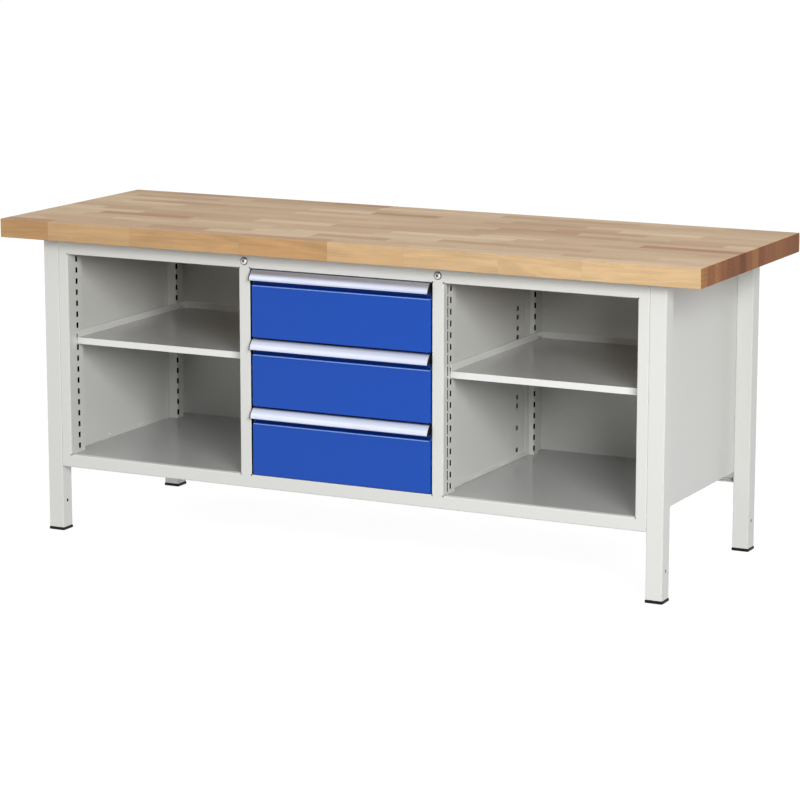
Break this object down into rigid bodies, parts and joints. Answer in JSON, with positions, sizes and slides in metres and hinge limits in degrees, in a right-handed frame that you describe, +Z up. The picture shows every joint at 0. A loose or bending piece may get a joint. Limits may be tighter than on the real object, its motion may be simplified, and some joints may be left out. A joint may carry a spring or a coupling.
{
  "type": "workbench with drawers",
  "caption": "Long workbench with a laminated wood top, square-tube legs, two open shelf bays and a middle stack of full-extension drawers with full-width handle strips.",
  "frame": {"origin": "middle of the footprint, on the floor", "axes": "+X to the right along the bench, +Y from the front to the back, +Z up"},
  "size_m": [2, 0.7, 0.85],
  "materials": {
    "grey_paint": "light grey powder coat, semi-gloss",
    "blue_paint": "blue powder coat, semi-gloss",
    "beech_board": "oiled laminated beech staves",
    "handle_aluminium": "satin anodised extrusion",
    "black_plastic": "black moulded plastic",
    "zinc_steel": "bright zinc plate"
  },
  "bodies": {
    "bench": {"worktop": "beech_board", "worktop_screws": "zinc_steel", "front_frame": "grey_paint", "frame_bolts": "zinc_steel", "rear_top_rail": "grey_paint", "rear_bottom_rail": "grey_paint", "back_panel": "grey_paint", "floor_left": "grey_paint", "floor_centre": "grey_paint", "floor_right": "grey_paint", "shelf_clips": "zinc_steel", "leg_front_left": "grey_paint", "foot_front_left": "black_plastic", "upright_front_left": "grey_paint", "post_front_left": "grey_paint", "leg_front_right": "grey_paint", "foot_front_right": "black_plastic", "upright_front_right": "grey_paint", "post_front_right": "grey_paint", "leg_rear_left": "grey_paint", "foot_rear_left": "black_plastic", "upright_rear_left": "grey_paint", "post_rear_left": "grey_paint", "leg_rear_right": "grey_paint", "foot_rear_right": "black_plastic", "upright_rear_right": "grey_paint", "post_rear_right": "grey_paint", "side_panel_left": "grey_paint", "divider_left": "grey_paint", "shelf_left": "grey_paint", "side_panel_right": "grey_paint", "divider_right": "grey_paint", "shelf_right": "grey_paint", "drawer_1_outer_slides": "zinc_steel", "drawer_2_outer_slides": "zinc_steel", "drawer_3_outer_slides": "zinc_steel"},
    "drawer_1": {"drawer_1_box": "grey_paint", "drawer_1_front": "blue_paint", "drawer_1_handle": "handle_aluminium", "drawer_1_end_caps": "black_plastic", "drawer_1_inner_slides": "zinc_steel"},
    "drawer_1_middle": {"drawer_1_middle_slides": "zinc_steel"},
    "drawer_1_outer_cage": {"drawer_1_outer_cages": "zinc_steel"},
    "drawer_1_inner_cage": {"drawer_1_inner_cages": "zinc_steel"},
    "drawer_2": {"drawer_2_box": "grey_paint", "drawer_2_front": "blue_paint", "drawer_2_handle": "handle_aluminium", "drawer_2_end_caps": "black_plastic", "drawer_2_inner_slides": "zinc_steel"},
    "drawer_2_middle": {"drawer_2_middle_slides": "zinc_steel"},
    "drawer_2_outer_cage": {"drawer_2_outer_cages": "zinc_steel"},
    "drawer_2_inner_cage": {"drawer_2_inner_cages": "zinc_steel"},
    "drawer_3": {"drawer_3_box": "grey_paint", "drawer_3_front": "blue_paint", "drawer_3_handle": "handle_aluminium", "drawer_3_end_caps": "black_plastic", "drawer_3_inner_slides": "zinc_steel"},
    "drawer_3_middle": {"drawer_3_middle_slides": "zinc_steel"},
    "drawer_3_outer_cage": {"drawer_3_outer_cages": "zinc_steel"},
    "drawer_3_inner_cage": {"drawer_3_inner_cages": "zinc_steel"}
  },
  "joints": [
    {"name": "drawer_1_slide", "type": "slide", "parent": "bench", "child": "drawer_1", "axis": [0, -1, 0], "range_m": [0, 0.5]},
    {"name": "drawer_1_middle_slide", "type": "slide", "parent": "bench", "child": "drawer_1_middle", "axis": [0, -1, 0], "range_m": [0, 0.25]},
    {"name": "drawer_1_outer_cage_slide", "type": "slide", "parent": "bench", "child": "drawer_1_outer_cage", "axis": [0, -1, 0], "range_m": [0, 0.125]},
    {"name": "drawer_1_inner_cage_slide", "type": "slide", "parent": "bench", "child": "drawer_1_inner_cage", "axis": [0, -1, 0], "range_m": [0, 0.375]},
    {"name": "drawer_2_slide", "type": "slide", "parent": "bench", "child": "drawer_2", "axis": [0, -1, 0], "range_m": [0, 0.5]},
    {"name": "drawer_2_middle_slide", "type": "slide", "parent": "bench", "child": "drawer_2_middle", "axis": [0, -1, 0], "range_m": [0, 0.25]},
    {"name": "drawer_2_outer_cage_slide", "type": "slide", "parent": "bench", "child": "drawer_2_outer_cage", "axis": [0, -1, 0], "range_m": [0, 0.125]},
    {"name": "drawer_2_inner_cage_slide", "type": "slide", "parent": "bench", "child": "drawer_2_inner_cage", "axis": [0, -1, 0], "range_m": [0, 0.375]},
    {"name": "drawer_3_slide", "type": "slide", "parent": "bench", "child": "drawer_3", "axis": [0, -1, 0], "range_m": [0, 0.5]},
    {"name": "drawer_3_middle_slide", "type": "slide", "parent": "bench", "child": "drawer_3_middle", "axis": [0, -1, 0], "range_m": [0, 0.25]},
    {"name": "drawer_3_outer_cage_slide", "type": "slide", "parent": "bench", "child": "drawer_3_outer_cage", "axis": [0, -1, 0], "range_m": [0, 0.125]},
    {"name": "drawer_3_inner_cage_slide", "type": "slide", "parent": "bench", "child": "drawer_3_inner_cage", "axis": [0, -1, 0], "range_m": [0, 0.375]}
  ],
  "couplings": [
    {"joint": "drawer_1_middle_slide", "follows": "drawer_1_slide", "ratio": 0.5},
    {"joint": "drawer_1_outer_cage_slide", "follows": "drawer_1_slide", "ratio": 0.25},
    {"joint": "drawer_1_inner_cage_slide", "follows": "drawer_1_slide", "ratio": 0.75},
    {"joint": "drawer_2_middle_slide", "follows": "drawer_2_slide", "ratio": 0.5},
    {"joint": "drawer_2_outer_cage_slide", "follows": "drawer_2_slide", "ratio": 0.25},
    {"joint": "drawer_2_inner_cage_slide", "follows": "drawer_2_slide", "ratio": 0.75},
    {"joint": "drawer_3_middle_slide", "follows": "drawer_3_slide", "ratio": 0.5},
    {"joint": "drawer_3_outer_cage_slide", "follows": "drawer_3_slide", "ratio": 0.25},
    {"joint": "drawer_3_inner_cage_slide", "follows": "drawer_3_slide", "ratio": 0.75}
  ]
}
